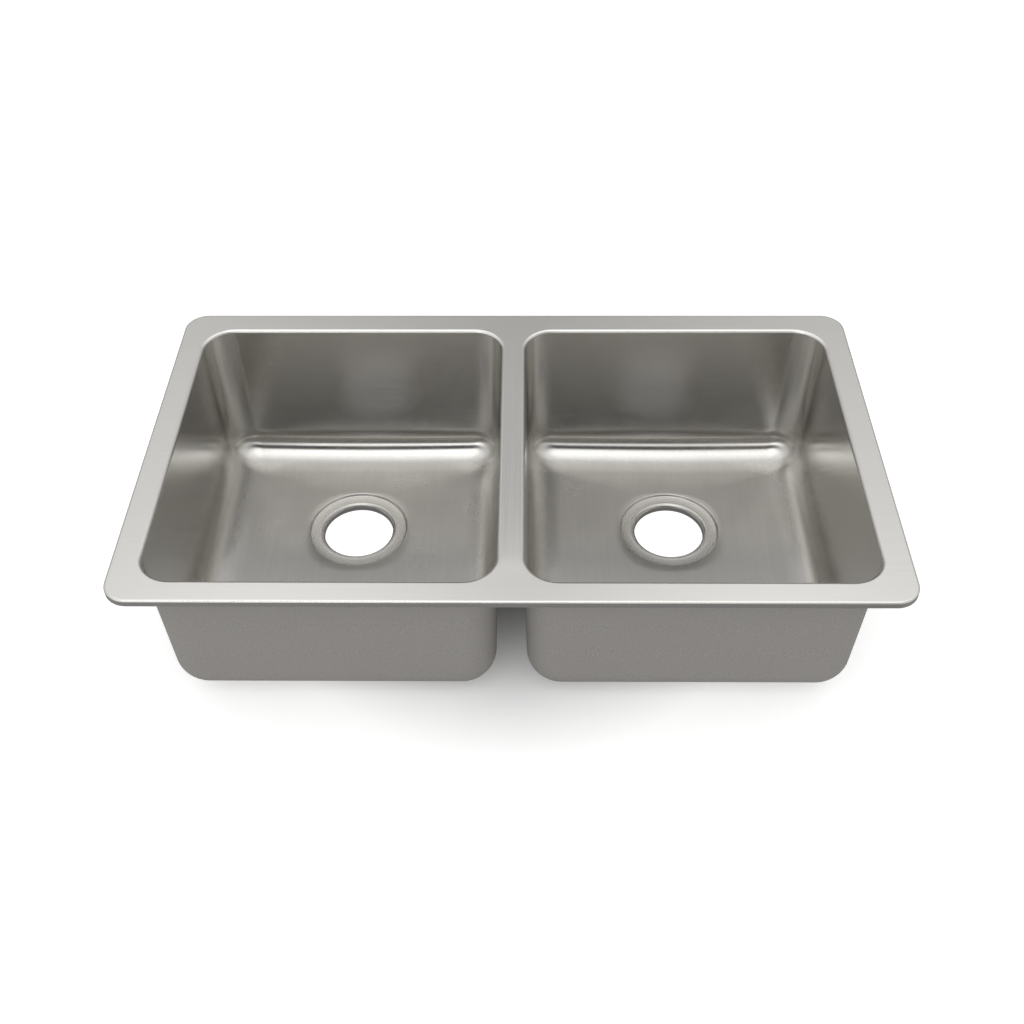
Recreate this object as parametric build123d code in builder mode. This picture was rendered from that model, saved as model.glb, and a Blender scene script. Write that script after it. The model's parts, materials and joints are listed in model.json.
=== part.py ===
from build123d import *
import math
import os

# A top-mount double bowl kitchen sink in brushed stainless steel, in millimetres.
# The origin lies on the countertop, in the middle of the rim: X to the right, Y to the back,
# Z up. The turned-down edge of the rim stands on the countertop at Z = 0, and both bowls
# hang through the cut-out below it.

os.makedirs("parts", exist_ok=True)

# ---------------------------------------------------------------- driving dimensions
sheet = 1.2                 # 18 gauge stainless sheet
rim_width = 838.2           # 33 in, left to right
rim_depth = 482.6           # 19 in, front to back
rim_corner_radius = 27.0
lip_height = 8.0            # deck top above the countertop
lip_bend = 2.5              # outer radius where the deck turns down into the lip

side_flange = 31.0          # rim edge to the wall of a bowl, left and right
front_flange = 29.0
rear_flange = 34.0
divider_width = 29.0        # wall to wall between the two bowls
opening_radius = 36.0       # corner radius of a bowl at the deck
edge_roll = 3.8             # outer radius where the deck rolls down into a bowl
collar_depth = 12.0         # deck top to the weld between deck and bowl

bowl_depth = 206.0          # deck top to the bowl's floor
wall_draft = 1.5            # degrees that a wall leans in
floor_corner_radius = 48.0  # corner radius of the walls, carried down to the floor
cove_radius = 44.45         # 1-3/4 in round between wall and floor

drain_side_offset = 1.0     # drain centre outwards from the bowl's middle
drain_back_offset = 60.5    # drain centre back from the bowl's middle
drain_radius = 44.45        # 3-1/2 in opening
drain_roll = 3.6            # outer radius where the recess turns down into the opening
drain_drop = 12.0           # floor to the bottom of the drain collar
recess_radius = 61.5
recess_depth = 2.7
recess_slope = 2.4          # width of the sloping step round the recess
recess_bend = 1.6           # radius that softens the two corners of that step

channel_setback = 19.0      # rim edge to the channel's centre line
channel_width = 12.0
channel_height = 8.0
channel_wall = 1.0
channel_slot = 6.0
channel_end_gap = 55.0      # rim edge to the end of a channel

clips_per_long_side = 3
head_gap = 0.1              # clearance under the head of a hold-down bolt
bolt_radius = 2.5           # M5
bolt_length = 20.0          # under the head
bolt_end_chamfer = 0.6
head_length = 9.0           # along the channel
head_thickness = 1.8
head_clearance = 0.2        # head to each side of the channel
neck_clearance = 0.15       # square neck to each side of the slot
hole_clearance = 0.3        # round hole over the bolt, on the radius
thread_clearance = 0.1      # nut over the bolt, on the radius
nut_across_flats = 8.0
nut_thickness = 4.0
nut_chamfer = 0.5
nut_stand_off = 3.0         # nut to the end of the bolt, as parked
washer_radius = 5.0
washer_thickness = 1.0
claw_width = 9.0
claw_thickness = 1.8
claw_heel = 6.5             # bolt to the blunt end of the claw
claw_knee = 7.0             # bolt to the bend of the arm
claw_ankle = 11.5           # bolt to the foot of the arm
claw_reach = 18.0           # bolt to the outside of the teeth
claw_arm_drop = 4.0
tooth_height = 1.7          # teeth above the plate of the arm
tooth_count = 3
tooth_depth = 1.4

pad_thickness = 3.0
pad_width = 250.0
pad_length = 290.0
pad_corner_radius = 20.0
pad_drain_gap = 4.0         # pad clear of the drain recess

# ---------------------------------------------------------------- derived places
deck_top = lip_height
deck_underside = deck_top - sheet
weld_level = deck_top - collar_depth
floor_level = deck_top - bowl_depth
bowl_width = (rim_width - 2 * side_flange - divider_width) / 2
bowl_length = rim_depth - front_flange - rear_flange
bowl_side = (divider_width + bowl_width) / 2
bowl_middle_y = (front_flange - rear_flange) / 2
drain_y = bowl_middle_y + drain_back_offset
wall_height = weld_level - floor_level
wall_lean = wall_height * math.tan(math.radians(wall_draft))
# the bend in the drain's step keeps one thickness of sheet all the way down
step_angle = math.atan2(recess_depth, recess_slope)
step_shift = sheet * math.tan(step_angle / 2)

channel_bottom = deck_underside - channel_height
ledge_level = channel_bottom + channel_wall
head_level = ledge_level + head_gap
bolt_end = head_level - bolt_length
nut_level = bolt_end + nut_stand_off
washer_level = nut_level + nut_thickness
claw_level = washer_level + washer_thickness

sides = {"left": -1, "right": 1}


# ---------------------------------------------------------------- rim deck
with BuildPart() as under_deck:
    with BuildSketch():
        RectangleRounded(rim_width - 2 * sheet, rim_depth - 2 * sheet, rim_corner_radius - sheet)
    extrude(amount=deck_underside)
    fillet(under_deck.faces().sort_by(Axis.Z)[-1].edges(), lip_bend - sheet)

with BuildPart() as rim_deck:
    with BuildSketch():
        RectangleRounded(rim_width, rim_depth, rim_corner_radius)
    extrude(amount=deck_top)
    fillet(rim_deck.faces().sort_by(Axis.Z)[-1].edges(), lip_bend)
    add(under_deck.part, mode=Mode.SUBTRACT)
    for side in sides.values():
        with BuildSketch(Plane((side * bowl_side, bowl_middle_y, weld_level))):
            RectangleRounded(bowl_width + 2 * sheet, bowl_length + 2 * sheet, opening_radius + sheet)
        extrude(amount=collar_depth)
    collar_roots = rim_deck.edges().filter_by_position(
        Axis.Z, deck_underside - 0.01, deck_underside + 0.01
    ).filter_by(
        lambda edge: abs(edge.center().X) < rim_width / 2 - side_flange / 2
        and abs(edge.center().Y - bowl_middle_y) < bowl_length / 2 + 2 * sheet
    )
    fillet(collar_roots, edge_roll - sheet)
    for side in sides.values():
        with BuildSketch(Plane((side * bowl_side, bowl_middle_y, weld_level))):
            RectangleRounded(bowl_width, bowl_length, opening_radius)
        extrude(amount=collar_depth, mode=Mode.SUBTRACT)
    opening_edges = rim_deck.faces().sort_by(Axis.Z)[-1].inner_wires().edges()
    fillet(opening_edges, edge_roll)
rim_deck.part.label = "rim_deck"
export_step(rim_deck.part, "parts/rim_deck.step")


# ---------------------------------------------------------------- bowls
def bowl_form(middle_x, wall):
    """The solid that a bowl's inside fills (wall 0) or its outside fills (wall = sheet)."""
    with BuildPart() as form:
        with BuildSketch(Plane((middle_x, bowl_middle_y, weld_level))):
            RectangleRounded(
                bowl_width + 2 * wall, bowl_length + 2 * wall, opening_radius + wall
            )
        with BuildSketch(Plane((middle_x, bowl_middle_y, floor_level - wall))):
            RectangleRounded(
                bowl_width - 2 * wall_lean + 2 * wall,
                bowl_length - 2 * wall_lean + 2 * wall,
                floor_corner_radius + wall,
            )
        loft(ruled=True)
        fillet(form.faces().sort_by(Axis.Z)[0].edges(), cove_radius + wall)
    return form.part


for name, side in sides.items():
    middle_x = side * bowl_side
    drain_x = middle_x + side * drain_side_offset
    inside = bowl_form(middle_x, 0)
    with BuildPart() as bowl:
        add(bowl_form(middle_x, sheet))
        add(inside, mode=Mode.SUBTRACT)
        # the drain's recess and collar are pressed out of the floor, one sheet thick
        step_top = recess_radius + recess_slope
        with BuildSketch(Plane((drain_x, drain_y, floor_level))):
            Circle(step_top + 2 * recess_bend)
        extrude(amount=-sheet, mode=Mode.SUBTRACT)
        with BuildSketch(Plane((drain_x, drain_y, floor_level), x_dir=(1, 0, 0), z_dir=(0, -1, 0))):
            with BuildLine():
                Polyline(
                    (drain_radius, -drain_drop),
                    (drain_radius, -recess_depth - drain_roll),
                )
                RadiusArc(
                    (drain_radius, -recess_depth - drain_roll),
                    (drain_radius + drain_roll, -recess_depth),
                    drain_roll,
                )
                Polyline(
                    (drain_radius + drain_roll, -recess_depth),
                    (recess_radius, -recess_depth),
                    (step_top, 0),
                    (step_top + 2 * recess_bend, 0),
                    (step_top + 2 * recess_bend, -sheet),
                    (step_top + step_shift, -sheet),
                    (recess_radius + step_shift, -recess_depth - sheet),
                    (drain_radius + drain_roll, -recess_depth - sheet),
                )
                RadiusArc(
                    (drain_radius + drain_roll, -recess_depth - sheet),
                    (drain_radius + sheet, -recess_depth - drain_roll),
                    -(drain_roll - sheet),
                )
                Polyline(
                    (drain_radius + sheet, -recess_depth - drain_roll),
                    (drain_radius + sheet, -drain_drop),
                    (drain_radius, -drain_drop),
                )
            make_face()
        revolve(axis=Axis((drain_x, drain_y, 0), (0, 0, 1)))
    bowl.part.label = f"{name}_bowl"
    export_step(bowl.part, f"parts/{name}_bowl.step")


# ---------------------------------------------------------------- sound pads
for name, side in sides.items():
    drain_x = side * (bowl_side + drain_side_offset)
    with BuildPart() as sound_pad:
        with BuildSketch(Plane((side * bowl_side, bowl_middle_y, floor_level - sheet))):
            RectangleRounded(pad_width, pad_length, pad_corner_radius)
        extrude(amount=-pad_thickness)
        with BuildSketch(Plane((drain_x, drain_y, floor_level - sheet))):
            Circle(recess_radius + recess_slope + sheet + pad_drain_gap)
        extrude(amount=-pad_thickness, mode=Mode.SUBTRACT)
    sound_pad.part.label = f"{name}_sound_pad"
    export_step(sound_pad.part, f"parts/{name}_sound_pad.step")


# ---------------------------------------------------------------- mounting channels
# Each side's plane stands on the countertop under the channel's middle. Its X runs along
# the channel, and its Y points outwards, to the rim's edge.
side_planes = {
    "front": Plane((0, channel_setback - rim_depth / 2, 0), x_dir=(-1, 0, 0)),
    "rear": Plane((0, rim_depth / 2 - channel_setback, 0), x_dir=(1, 0, 0)),
    "left": Plane((channel_setback - rim_width / 2, 0, 0), x_dir=(0, 1, 0)),
    "right": Plane((rim_width / 2 - channel_setback, 0, 0), x_dir=(0, -1, 0)),
}
channel_lengths = {
    "front": rim_width - 2 * channel_end_gap,
    "rear": rim_width - 2 * channel_end_gap,
    "left": rim_depth - 2 * channel_end_gap,
    "right": rim_depth - 2 * channel_end_gap,
}

for name, plane in side_planes.items():
    section = Plane(
        plane.from_local_coords(Vector(0, 0, deck_underside)), x_dir=plane.y_dir, z_dir=plane.x_dir
    )
    with BuildPart() as channel:
        with BuildSketch(section):
            Rectangle(channel_width, channel_height, align=(Align.CENTER, Align.MAX))
            with Locations((0, -channel_wall)):
                Rectangle(
                    channel_width - 2 * channel_wall,
                    channel_height - 2 * channel_wall,
                    align=(Align.CENTER, Align.MAX),
                    mode=Mode.SUBTRACT,
                )
                Rectangle(
                    channel_slot,
                    channel_height,
                    align=(Align.CENTER, Align.MAX),
                    mode=Mode.SUBTRACT,
                )
        extrude(amount=channel_lengths[name] / 2, both=True)
    channel.part.label = f"{name}_mounting_channel"
    export_step(channel.part, f"parts/{name}_mounting_channel.step")


# ---------------------------------------------------------------- hold-down clips
def clip_bolt(plane):
    """T-bolt: a flat head inside the channel, a square neck in its slot, an M5 shank."""
    with BuildPart() as bolt:
        with BuildSketch(plane.offset(head_level)):
            Rectangle(head_length, channel_width - 2 * (channel_wall + head_clearance))
        extrude(amount=head_thickness)
        with BuildSketch(plane.offset(head_level)):
            neck = channel_slot - 2 * neck_clearance
            Rectangle(neck, neck)
        extrude(amount=-channel_wall - head_gap)
        with BuildSketch(plane.offset(head_level)):
            Circle(bolt_radius)
        extrude(amount=-bolt_length)
        chamfer(bolt.faces().sort_by(Axis.Z)[0].edges(), bolt_end_chamfer)
    return bolt.part


def clip_nut(plane):
    """Hexagon nut under the washer: a round blank with bevelled ends, cut to six flats."""
    with BuildPart() as nut:
        with BuildSketch(plane.offset(nut_level)):
            Circle(nut_across_flats / math.sqrt(3))
        extrude(amount=nut_thickness)
        chamfer(nut.edges().filter_by(GeomType.CIRCLE), nut_chamfer)
        with BuildSketch(plane.offset(nut_level)):
            RegularPolygon(nut_across_flats / 2, 6, major_radius=False)
        extrude(amount=nut_thickness, mode=Mode.INTERSECT)
        with BuildSketch(plane.offset(nut_level)):
            Circle(bolt_radius + thread_clearance)
        extrude(amount=nut_thickness, mode=Mode.SUBTRACT)
    return nut.part


def clip_washer(plane):
    """Flat washer between nut and claw."""
    with BuildPart() as washer:
        with BuildSketch(plane.offset(washer_level)):
            Circle(washer_radius)
            Circle(bolt_radius + hole_clearance, mode=Mode.SUBTRACT)
        extrude(amount=washer_thickness)
    return washer.part


def clip_claw(plane):
    """Bent steel claw: a plate on the bolt, an arm bent down, and teeth turned up at its end."""
    profile = Plane(
        plane.from_local_coords(Vector(0, 0, claw_level)), x_dir=plane.x_dir, z_dir=-plane.y_dir
    )
    arm_level = -claw_arm_drop
    lean = claw_thickness * math.tan(math.atan2(claw_arm_drop, claw_ankle - claw_knee) / 2)
    tooth_top = arm_level + claw_thickness + tooth_height
    with BuildPart() as claw:
        with BuildSketch(profile):
            with BuildLine():
                Polyline(
                    (-claw_heel, 0),
                    (claw_knee, 0),
                    (claw_ankle, arm_level),
                    (claw_reach, arm_level),
                    (claw_reach, tooth_top),
                    (claw_reach - claw_thickness, tooth_top),
                    (claw_reach - claw_thickness, arm_level + claw_thickness),
                    (claw_ankle + lean, arm_level + claw_thickness),
                    (claw_knee + lean, claw_thickness),
                    (-claw_heel, claw_thickness),
                    close=True,
                )
            make_face()
        extrude(amount=claw_width / 2, both=True)
        with BuildSketch(plane.offset(claw_level)):
            Circle(bolt_radius + hole_clearance)
        extrude(amount=claw_thickness, mode=Mode.SUBTRACT)
        # V notches leave a row of teeth along the turned-up end
        pitch = claw_width / tooth_count
        tooth_face = Plane(
            plane.from_local_coords(Vector(claw_reach, 0, claw_level + tooth_top)),
            x_dir=plane.y_dir,
            z_dir=plane.x_dir,
        )
        with BuildSketch(tooth_face):
            with GridLocations(pitch, 0, tooth_count - 1, 1):
                with BuildLine():
                    Polyline((-pitch / 2, 0), (pitch / 2, 0), (0, -tooth_depth), close=True)
                make_face()
        extrude(amount=-claw_thickness, mode=Mode.SUBTRACT)
    return claw.part


clip_pieces = {
    "bolt": clip_bolt,
    "nut": clip_nut,
    "washer": clip_washer,
    "claw": clip_claw,
}
clip_counts = {
    "front": clips_per_long_side,
    "rear": clips_per_long_side,
    "left": 1,
    "right": 1,
}
for name, plane in side_planes.items():
    count = clip_counts[name]
    spacing = channel_lengths[name] / count
    for number in range(count):
        along = (number - (count - 1) / 2) * spacing
        clip_plane = Plane(
            plane.from_local_coords(Vector(along, 0, 0)), x_dir=plane.x_dir, z_dir=plane.z_dir
        )
        clip = f"{name}_clip" if count == 1 else f"{name}_clip_{number + 1}"
        for piece, make_piece in clip_pieces.items():
            part = make_piece(clip_plane)
            part.label = f"{clip}_{piece}"
            export_step(part, f"parts/{part.label}.step")
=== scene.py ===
import json
import math

import bmesh
import bpy
from bpy.props import FloatProperty, FloatVectorProperty, PointerProperty
from mathutils import Matrix, Vector


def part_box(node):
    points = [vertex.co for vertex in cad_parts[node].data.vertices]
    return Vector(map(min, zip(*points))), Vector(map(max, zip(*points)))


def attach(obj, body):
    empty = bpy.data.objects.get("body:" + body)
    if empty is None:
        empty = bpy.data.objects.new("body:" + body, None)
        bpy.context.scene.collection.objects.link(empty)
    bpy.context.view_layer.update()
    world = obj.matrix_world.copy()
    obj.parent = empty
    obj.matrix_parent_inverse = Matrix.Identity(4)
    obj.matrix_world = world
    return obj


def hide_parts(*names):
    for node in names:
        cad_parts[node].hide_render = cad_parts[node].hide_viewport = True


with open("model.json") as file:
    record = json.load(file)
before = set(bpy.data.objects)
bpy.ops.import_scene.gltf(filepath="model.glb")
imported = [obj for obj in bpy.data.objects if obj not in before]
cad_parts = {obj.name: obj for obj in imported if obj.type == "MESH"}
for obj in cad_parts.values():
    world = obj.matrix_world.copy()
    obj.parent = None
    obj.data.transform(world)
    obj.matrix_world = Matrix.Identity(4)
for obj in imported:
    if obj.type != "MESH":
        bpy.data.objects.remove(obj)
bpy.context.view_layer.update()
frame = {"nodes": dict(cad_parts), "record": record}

bl_info = {
    "name": "Double Bowl Kitchen Sink",
    "version": (1, 0, 0),
    "blender": (4, 5, 0),
    "location": "3D Viewport > Sidebar > Sink",
    "description": "Dresses a top-mount double bowl sink in brushed, drawn and plated steel",
    "category": "Object",
}

MM = 0.001
UP = Vector((0, 0, 1))
SIDES = {"left": -1, "right": 1}

# ------------------------------------------------------------------ places read from the frame
MOUNTS = {mount["name"]: mount for mount in frame["record"]["mounts"]}
DECK_LOW, DECK_HIGH = (Vector(corner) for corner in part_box("rim_deck"))
BOWL_LOW, BOWL_HIGH = (Vector(corner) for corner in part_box("right_bowl"))
DECK_TOP = DECK_HIGH.z
WELD_LEVEL = DECK_LOW.z
# the channels lie against the deck's underside, and the pads against the floors' undersides
DECK_UNDERSIDE = Vector(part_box("front_mounting_channel")[1]).z
SHEET = DECK_TOP - DECK_UNDERSIDE
FLOOR_LEVEL = Vector(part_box("right_sound_pad")[1]).z + SHEET
COLLAR_END = BOWL_LOW.z
BOWL_MIDDLE = Vector(((BOWL_LOW.x + BOWL_HIGH.x) / 2, (BOWL_LOW.y + BOWL_HIGH.y) / 2, 0))
BOWL_HALF = (BOWL_HIGH.xy - BOWL_LOW.xy) / 2 - Vector((SHEET, SHEET))
DRAIN_RADIUS = MOUNTS["right_drain_opening"]["dims"]["r_mm"] * MM
DRAIN_MIDDLE = Vector(MOUNTS["right_drain_opening"]["pos_m"])
RECESS_LEVEL = MOUNTS["right_strainer_seat"]["pos_m"][2]
DIVIDER_FLARE = 50 * MM  # half the width over which the divider opens out into the rims


# ------------------------------------------------------------------ small tools
def srgb(hex_colour):
    """Turns a colour written as an sRGB hex value into the linear values that Blender stores."""
    channels = [int(hex_colour[i:i + 2], 16) / 255 for i in (1, 3, 5)]
    return tuple(c / 12.92 if c <= 0.04045 else ((c + 0.055) / 1.055) ** 2.4 for c in channels)


def smooth_step(t):
    t = min(1.0, max(0.0, t))
    return t * t * (3 - 2 * t)


def add_node(tree, kind, settings=None, links=None):
    """Adds a node, sets its properties and unlinked sockets, and links its other sockets."""
    node = tree.nodes.new(kind)
    for name, value in (settings or {}).items():
        if isinstance(name, str) and hasattr(node, name) and name not in node.inputs:
            setattr(node, name, value)
        else:
            node.inputs[name].default_value = value
    for name, source in (links or {}).items():
        tree.links.new(source, node.inputs[name])
    return node


def new_material(name):
    """An empty material, its node tree, its output node and the place on the object."""
    material = bpy.data.materials.new(name)
    material.use_nodes = True
    material.node_tree.nodes.clear()
    output = material.node_tree.nodes.new("ShaderNodeOutputMaterial")
    place = add_node(material.node_tree, "ShaderNodeTexCoord").outputs["Object"]
    return material, material.node_tree, output, place


def coat(tree, output, settings, links=None, kind="ShaderNodeBsdfPrincipled"):
    """Ends a material in one shader."""
    shader = add_node(tree, kind, settings, links)
    tree.links.new(shader.outputs[0], output.inputs["Surface"])


def mesh_object(name, bm):
    """Turns a bmesh into an object of the scene."""
    mesh = bpy.data.meshes.new(name)
    bm.to_mesh(mesh)
    bm.free()
    piece = bpy.data.objects.new(name, mesh)
    bpy.context.scene.collection.objects.link(piece)
    return piece


def smoothed(bm, sharp_angle=32):
    """Closes a bmesh off: faces outwards, smooth shading, and sharp edges where sheet is cut."""
    bmesh.ops.recalc_face_normals(bm, faces=bm.faces)
    for face in bm.faces:
        face.smooth = True
    for edge in bm.edges:
        if len(edge.link_faces) == 2:
            edge.smooth = edge.calc_face_angle(0) < math.radians(sharp_angle)
    return bm


LEAST_RADIUS = 0.2 * MM  # keeps the points of a corner apart


def rounded_loop(middle, half, radius, height, corner_steps, side_steps):
    """Points round a rounded rectangle, anticlockwise seen from above, starting mid right side."""
    points = []
    radius = max(radius, LEAST_RADIUS)
    corners = ((1, 1), (-1, 1), (-1, -1), (1, -1))
    for number, (sx, sy) in enumerate(corners):
        centre = Vector((middle.x + sx * (half.x - radius), middle.y + sy * (half.y - radius)))
        nsx, nsy = corners[(number + 1) % 4]
        following = Vector((middle.x + nsx * (half.x - radius), middle.y + nsy * (half.y - radius)))
        for step in range(corner_steps + 1):
            angle = math.pi / 2 * (number + step / corner_steps)
            points.append(centre + radius * Vector((math.cos(angle), math.sin(angle))))
        turned = math.pi / 2 * (number + 1)
        offset = radius * Vector((math.cos(turned), math.sin(turned)))
        for step in range(1, side_steps):
            points.append(centre.lerp(following, step / side_steps) + offset)
    # the first point is turned to the middle of the right side
    shift = side_steps // 2
    points = points[-shift:] + points[:-shift]
    return [Vector((point.x, point.y, height)) for point in points]


def circle_loop(middle, radius, height, count):
    """Points round a circle, in step with rounded_loop."""
    return [
        Vector((
            middle.x + radius * math.cos(2 * math.pi * i / count),
            middle.y + radius * math.sin(2 * math.pi * i / count),
            height,
        ))
        for i in range(count)
    ]


def add_loop(bm, points):
    return [bm.verts.new(point) for point in points]


def bridge(bm, loops, material_index=0):
    """Joins each loop of vertices to the next with quads."""
    for lower, upper in zip(loops, loops[1:]):
        count = len(lower)
        for i in range(count):
            j = (i + 1) % count
            face = bm.faces.new((lower[i], lower[j], upper[j], upper[i]))
            face.material_index = material_index


def loop_edges(bm, loop):
    return [bm.edges.get((a, b)) for a, b in zip(loop, loop[1:] + loop[:1])]


def arc(centre_offset, centre_level, radius, start, end, steps):
    """(offset, level) pairs along an arc; angles in degrees, from outwards (0) to up (90)."""
    pairs = []
    for step in range(steps + 1):
        angle = math.radians(start + (end - start) * step / steps)
        out, rise = radius * math.cos(angle), radius * math.sin(angle)
        pairs.append((centre_offset + out, centre_level + rise))
    return pairs


# ------------------------------------------------------------------ sizes and colours
class SinkDeckSizes(bpy.types.PropertyGroup):
    corner_radius: FloatProperty(
        name="Rim corner radius", description="Radius of the rim's outer corners",
        default=27 * MM, unit="LENGTH",
    )
    lip_bend: FloatProperty(
        name="Lip bend", description="Outer radius where the deck turns down into the lip",
        default=2.5 * MM, unit="LENGTH",
    )
    opening_radius: FloatProperty(
        name="Opening radius", description="Corner radius of a bowl at the deck",
        default=36 * MM, unit="LENGTH",
    )
    edge_roll: FloatProperty(
        name="Edge roll", description="Outer radius where the deck rolls down into a bowl",
        default=3.8 * MM, unit="LENGTH",
    )


class SinkBowlSizes(bpy.types.PropertyGroup):
    wall_draft: FloatProperty(
        name="Wall draft", description="Angle at which a wall leans in",
        default=math.radians(1.5), subtype="ANGLE",
    )
    floor_corner_radius: FloatProperty(
        name="Floor corner radius", description="Corner radius of the flat floor inside the cove",
        default=4 * MM, unit="LENGTH",
    )
    cove_radius: FloatProperty(
        name="Cove radius", description="Round between wall and floor",
        default=44.45 * MM, unit="LENGTH",
    )
    floor_fall: FloatProperty(
        name="Floor fall", description="Slope of a bowl's floor towards its drain",
        default=math.radians(1.5), subtype="ANGLE",
    )
    floor_run_out: FloatProperty(
        name="Floor run-out", description="How much higher the cove runs out into the floor",
        default=1.0 * MM, unit="LENGTH",
    )
    recess_radius: FloatProperty(
        name="Recess radius", description="Radius of the flat ring round the drain",
        default=61.5 * MM, unit="LENGTH",
    )
    recess_slope: FloatProperty(
        name="Recess slope", description="Width of the soft step round the ring",
        default=2.4 * MM, unit="LENGTH",
    )
    recess_bend: FloatProperty(
        name="Recess bend", description="How far the soft step runs on at its top and its foot",
        default=0.3 * MM, unit="LENGTH",
    )
    drain_roll: FloatProperty(
        name="Drain roll", description="Outer radius where the ring turns down into the drain",
        default=3.6 * MM, unit="LENGTH",
    )


class SinkClipSizes(bpy.types.PropertyGroup):
    bolt_radius: FloatProperty(
        name="Bolt radius", description="Crest of the T-bolt's thread, an M5",
        default=2.5 * MM, unit="LENGTH",
    )
    thread_pitch: FloatProperty(
        name="Thread pitch", description="Rise of the thread in one turn",
        default=0.8 * MM, unit="LENGTH",
    )
    bolt_head: FloatProperty(
        name="Bolt head", description="Thickness of the T-bolt's head",
        default=1.8 * MM, unit="LENGTH",
    )
    bolt_neck: FloatProperty(
        name="Bolt neck", description="Width of the square neck in the channel's slot",
        default=5.7 * MM, unit="LENGTH",
    )
    bolt_neck_height: FloatProperty(
        name="Neck height", description="Height of the square neck",
        default=1.1 * MM, unit="LENGTH",
    )


class SinkFinish(bpy.types.PropertyGroup):
    deck_colour: FloatVectorProperty(
        name="Deck steel", description="Colour of the brushed deck",
        default=srgb("#E3E1DD"), size=3, subtype="COLOR", min=0, max=1,
    )
    bowl_colour: FloatVectorProperty(
        name="Bowl steel", description="Colour of the bowls' insides",
        default=srgb("#D8D6D2"), size=3, subtype="COLOR", min=0, max=1,
    )
    outside_colour: FloatVectorProperty(
        name="Blasted steel", description="Colour of the bowls' outsides",
        default=srgb("#96938F"), size=3, subtype="COLOR", min=0, max=1,
    )
    channel_colour: FloatVectorProperty(
        name="Galvanised steel", description="Colour of the mounting channels",
        default=srgb("#B4B9BC"), size=3, subtype="COLOR", min=0, max=1,
    )
    clip_colour: FloatVectorProperty(
        name="Zinc plate", description="Colour of the hold-down clips",
        default=srgb("#C9C8BE"), size=3, subtype="COLOR", min=0, max=1,
    )
    pad_colour: FloatVectorProperty(
        name="Butyl rubber", description="Colour of the sound pads",
        default=srgb("#26262A"), size=3, subtype="COLOR", min=0, max=1,
    )


class SinkStage(bpy.types.PropertyGroup):
    floor_colour: FloatVectorProperty(
        name="Floor", description="Colour of the studio floor",
        default=srgb("#F4F4F4"), size=3, subtype="COLOR", min=0, max=1,
    )
    floor_glow: FloatProperty(
        name="Floor glow", description="Light that the floor adds of its own", default=0.4,
    )
    room_strength: FloatProperty(
        name="Room", description="Brightness of the pale room round the sink", default=1.0,
    )
    floor_reflection: FloatProperty(
        name="Floor reflection", description="Brightness below the horizon in the steel",
        default=0.3,
    )
    drain_glow: FloatProperty(
        name="Drain reflection", description="Brightness of the drains in the steel", default=0.2,
    )


# ------------------------------------------------------------------ materials
NOISE_LOW, NOISE_HIGH = 0.3, 0.7  # nearly all values of a noise texture lie between these
SEAM_HALF = 0.4 * MM  # half the width of the seam between the divider and the rear rim
FRONT_BLEND = 40 * MM  # how far the divider's grain takes to turn at the front rim
POLISH_END, SATIN_START = 15 * MM, 2.5 * MM  # heights on the cove between polish and satin floor


def streak_noise(tree, place, along_mm, across_mm, direction, detail=3.0):
    """Noise drawn out along X ("x") or Y ("y"), as the marks of a brushing belt are."""
    along, across = 1 / (along_mm * MM), 1 / (across_mm * MM)
    scale = (along, across, across) if direction == "x" else (across, along, across)
    stretched = add_node(
        tree, "ShaderNodeMapping", {"vector_type": "POINT", "Scale": scale}, {"Vector": place},
    )
    return add_node(
        tree, "ShaderNodeTexNoise",
        {"Scale": 1.0, "Detail": detail, "Roughness": 0.6},
        {"Vector": stretched.outputs["Vector"]},
    ).outputs["Fac"]


def brush_marks(tree, place, fine, broad, turned):
    """Brushing marks along X where turned is 0, and along Y where it is 1.

    fine and broad are the (length, width) in mm of two sets of marks. The fine ones are finer
    than the render shows, so the broad set carries the look.
    """
    ways = []
    for way in ("x", "y"):
        sets = [streak_noise(tree, place, *marks, way) for marks in (fine, broad)]
        ways.append(add_node(
            tree, "ShaderNodeMix", {"data_type": "FLOAT", "Factor": 0.5},
            {"A": sets[0], "B": sets[1]},
        ).outputs["Result"])
    return add_node(
        tree, "ShaderNodeMix", {"data_type": "FLOAT"},
        {"Factor": turned, "A": ways[0], "B": ways[1]},
    ).outputs["Result"]


def tinted(tree, colour, pattern, low, high, start=NOISE_LOW, end=NOISE_HIGH):
    """A colour times a factor that goes from low to high as a pattern goes from start to end."""
    tint = add_node(
        tree, "ShaderNodeMapRange",
        {"From Min": start, "From Max": end, "To Min": low, "To Max": high}, {"Value": pattern},
    ).outputs["Result"]
    return add_node(
        tree, "ShaderNodeVectorMath", {"operation": "SCALE", 0: colour}, {"Scale": tint},
    ).outputs["Vector"]


def noise_tint_and_roughness(tree, colour, pattern, tints, roughnesses):
    """A colour and a roughness that follow a noise; tints and roughnesses are (low, high)."""
    low, high = roughnesses
    roughness = add_node(
        tree, "ShaderNodeMapRange",
        {"From Min": NOISE_LOW, "From Max": NOISE_HIGH, "To Min": low, "To Max": high},
        {"Value": pattern},
    ).outputs["Result"]
    return tinted(tree, colour, pattern, *tints), roughness


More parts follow.
